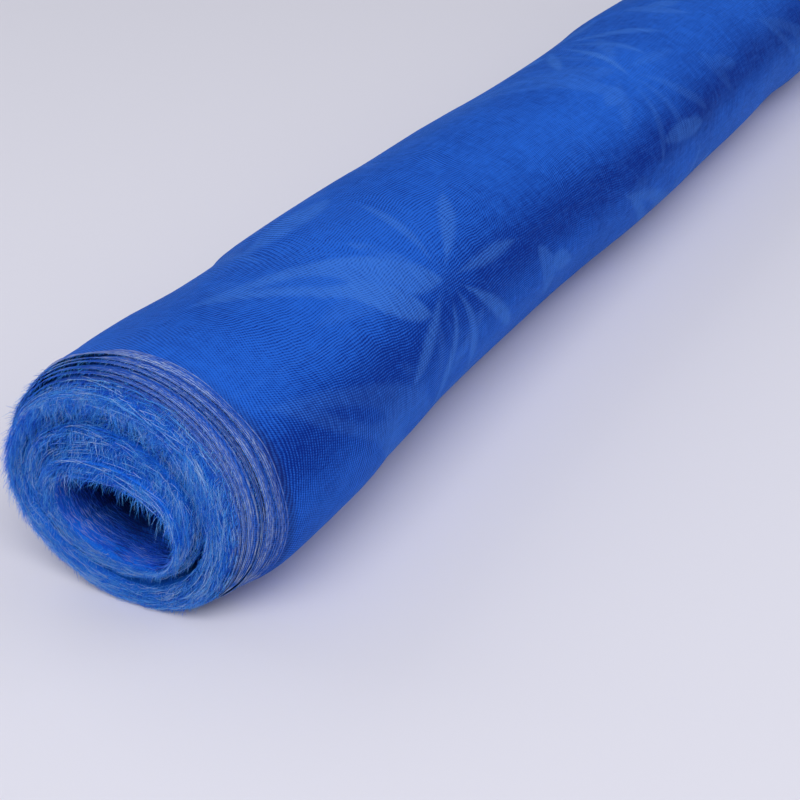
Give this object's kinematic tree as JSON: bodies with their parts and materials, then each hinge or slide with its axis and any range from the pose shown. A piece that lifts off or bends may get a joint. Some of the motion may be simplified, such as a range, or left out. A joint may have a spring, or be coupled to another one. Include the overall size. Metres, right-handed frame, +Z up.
{
  "type": "roll of insect screen mesh",
  "caption": "Soft coreless roll of blue woven screen mesh lying on its side, one end telescoped, with a flattened hollow right through.",
  "frame": {"origin": "under the middle of the roll's whole length and width, on the surface it lies on", "axes": "+X along the roll towards its dished far end, +Y towards its back, +Z up"},
  "size_m": [1.0224, 0.1256, 0.0983],
  "materials": {
    "blue_mesh": "fine woven synthetic yarn with a soft sheen, grey and white yarns at the woven edge and short frayed yarn ends"
  },
  "bodies": {
    "root": {"screen_mesh_roll": "blue_mesh"}
  },
  "joints": []
}
